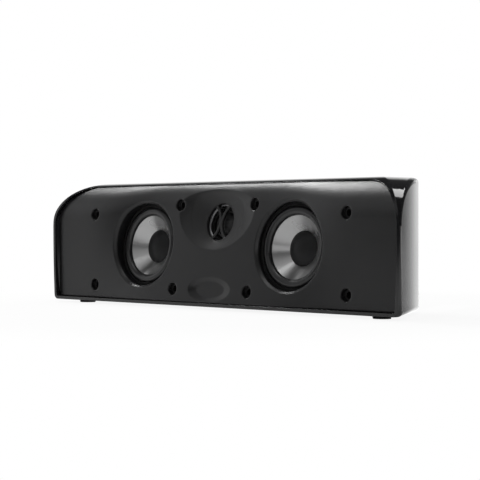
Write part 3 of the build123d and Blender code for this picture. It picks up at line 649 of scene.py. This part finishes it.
def cross_head(name, places, radius, height, sunk):
    """Pan heads facing +Y with a cross cut in each, as one mesh; places are the middles of the undersides."""
    arm, width = ARM_SHARE * radius, SLOT_SHARE * radius
    cross = [(width, arm), (width, width), (arm, width), (arm, -width), (width, -width), (width, -arm)]
    cross += [(-x, -z) for x, z in cross]
    turns = [2 * pi * i / HEAD_STEPS for i in range(HEAD_STEPS)]
    shape = bmesh.new()

    def ring(place, outline, level):
        return [shape.verts.new(place + Vector((x, level, z))) for x, z in outline]

    for place in places:
        rims = []
        for share, level in HEAD_LEVELS:
            outline = [(share * radius * sin(a), share * radius * cos(a)) for a in turns]
            rims.append(ring(place, outline, level * height))
        for low, high in zip(rims, rims[1:]):
            wall(shape, low, high)
        mouth = ring(place, cross, height)
        bottom = ring(place, cross, height - sunk)
        wall(shape, mouth, bottom)
        edges = []
        for loop in (rims[-1], mouth):
            for pair in zip(loop, [loop[-1], *loop]):
                edges.append(shape.edges.get(pair) or shape.edges.new(pair))
        bmesh.ops.triangle_fill(shape, edges=edges, use_beauty=True)
        shape.faces.new(bottom)
    bmesh.ops.recalc_face_normals(shape, faces=shape.faces)
    mesh = bpy.data.meshes.new(name)
    shape.to_mesh(mesh)
    shape.free()
    piece = bpy.data.objects.new(name, mesh)
    bpy.context.scene.collection.objects.link(piece)
    return piece


HEAD_RADIUS, HEAD_HEIGHT, CROSS_DEPTH = 2.5 * MM, 1.8 * MM, 0.9 * MM
zinc_steel = make_finish("zinc_steel", (0.5, 0.5, 0.51), (0.62, 0.62, 0.63), (0.24, 0.36), 900.0,
                         bump=0.000004, edge=0.0001, Metallic=1.0)
low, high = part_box("terminal_screws")
seat = high.y - HEAD_HEIGHT
places = [Vector((x, seat, z)) for x in (low.x + HEAD_RADIUS, high.x - HEAD_RADIUS)
          for z in (low.z + HEAD_RADIUS, high.z - HEAD_RADIUS)]
heads = cross_head("terminal_screw_heads", places, HEAD_RADIUS, HEAD_HEIGHT, CROSS_DEPTH)
heads.data.materials.append(zinc_steel)
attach(heads, "cabinet")
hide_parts("terminal_screws")
print("screw heads", len(places), "faces", len(heads.data.polygons))

# %% Terminal plate and posts
terminal_black = make_finish("terminal_black", (0.012, 0.012, 0.012), (0.018, 0.018, 0.018), (0.45, 0.58),
                             1100.0, bump=0.00005, patch=60.0, edge=0.0004)
dress(terminal_black, "terminal_plate")
post_red = make_finish("post_red", (0.36, 0.008, 0.008), (0.46, 0.014, 0.012), (0.18, 0.28), 700.0,
                       bump=0.000006, patch=90.0, edge=0.0003)
dress(post_red, "red_post_base", "red_post_cap")
post_black = make_finish("post_black", (0.008, 0.008, 0.008), (0.014, 0.014, 0.014), (0.18, 0.28), 700.0,
                         bump=0.000006, patch=90.0, edge=0.0003)
dress(post_black, "black_post_base", "black_post_cap")
gold_brass = make_finish("gold_brass", (0.62, 0.42, 0.15), (0.75, 0.55, 0.24), (0.16, 0.28), 900.0,
                         bump=0.000003, edge=0.0002, Metallic=1.0)
dress(gold_brass, "post_studs", "post_nuts", "threaded_insert")

# %% [markdown]
# ## Spiders: corrugated cloth
# A ring of resin-stiffened cloth keeps the coil centred. Its inside is glued to the coil's tube and its
# outside to the basket, and the waves between let the inside travel. Left as a still solid, it would be
# cut through when the cone moves in. Here it is turned from a waved line.

# %% Spiders
TUBE_EDGE, BASKET_EDGE, CLOTH_FOOT = 10.3, 24.45, -14.75
CLOTH_SKIN, CLOTH_FLAT, WAVE_RISE, WAVES, WAVE_POINTS, CLOTH_STEPS = 0.5, 1.8, 0.7, 3, 36, 96
CLOTH_PITCH, CLOTH_DEPTH = 0.5, 0.08
wave_start, wave_stop = TUBE_EDGE + CLOTH_FLAT / 2, BASKET_EDGE - CLOTH_FLAT
waved = [(TUBE_EDGE, CLOTH_FOOT)]
for i in range(WAVE_POINTS + 1):
    along = i / WAVE_POINTS
    rise = WAVE_RISE * (1 - cos(2 * pi * WAVES * along)) / 2
    waved.append((wave_start + (wave_stop - wave_start) * along, CLOTH_FOOT + rise))
waved.append((BASKET_EDGE, CLOTH_FOOT))
upper = [(radius, height + CLOTH_SKIN) for radius, height in waved]
spider_cloth = make_finish("spider_cloth", (0.38, 0.27, 0.12), (0.5, 0.37, 0.19), (0.7, 0.9))
weave(spider_cloth, CLOTH_PITCH, CLOTH_DEPTH)
for end in ENDS:
    cloth = turned(end + "_spider_cloth", [*upper, *reversed(waved), upper[0]], axes[end], steps=CLOTH_STEPS)
    cloth.data.materials.append(spider_cloth)
    flex(cloth)
    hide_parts(end + "_woofer_spider")

# %% [markdown]
# ## Inside
# Nothing here shows from outside unless a piece is taken off, but the part is meant to be reused, so each
# hidden piece also gets the finish of what it is: zinc, ferrite, enamelled copper, lacquered board, felt.


# %% Motors and baskets
def both(piece):
    """Names of a woofer's piece at both ends."""
    return [end + "_woofer_" + piece for end in ENDS]


dress(zinc_steel, "case_screws", "crossover_screws", "tweeter_screws", "tweeter_pole_cap", "tweeter_cup",
      *both("screws"), *both("top_plate"), *both("yoke"))
ferrite = make_finish("ferrite", (0.055, 0.055, 0.06), (0.085, 0.085, 0.09), (0.55, 0.75), 900.0,
                      bump=0.00003)
dress(ferrite, "tweeter_magnet", *both("magnet"))
basket_steel = make_finish("basket_steel", (0.022, 0.022, 0.022), (0.036, 0.036, 0.036), (0.4, 0.55), 1400.0,
                           bump=0.00003)
dress(basket_steel, *both("basket"))
copper_wire = make_finish("copper_wire", (0.5, 0.2, 0.08), (0.68, 0.32, 0.15), (0.25, 0.4), 1500.0,
                          bump=0.00004, Metallic=1.0)
dress(copper_wire, "tweeter_coil", "crossover_inductors", *both("voice_coil"))
former_film = make_finish("former_film", (0.26, 0.1, 0.02), (0.36, 0.15, 0.04), (0.2, 0.35), 800.0,
                          bump=0.000005)
dress(former_film, *both("coil_former"))
lug_board = make_finish("lug_board", (0.09, 0.05, 0.03), (0.14, 0.08, 0.05), (0.5, 0.7), 900.0, bump=0.00002)
dress(lug_board, *both("lug_strip"))

# %% Crossover and felt
board_green = make_finish("board_green", (0.03, 0.13, 0.05), (0.05, 0.18, 0.08), (0.3, 0.45), 700.0,
                          bump=0.000008)
dress(board_green, "crossover_board")
capacitor_sleeve = make_finish("capacitor_sleeve", (0.02, 0.03, 0.07), (0.04, 0.05, 0.11), (0.25, 0.4), 600.0,
                               bump=0.000008)
dress(capacitor_sleeve, "crossover_capacitors")
resistor_ceramic = make_finish("resistor_ceramic", (0.68, 0.66, 0.6), (0.78, 0.76, 0.71), (0.6, 0.8), 900.0,
                               bump=0.00003)
dress(resistor_ceramic, "crossover_resistor")
felt_white = make_finish("felt_white", (0.62, 0.62, 0.6), (0.76, 0.76, 0.74), (0.9, 1.0), 700.0, bump=0.0004)
dress(felt_white, "damping_pads")
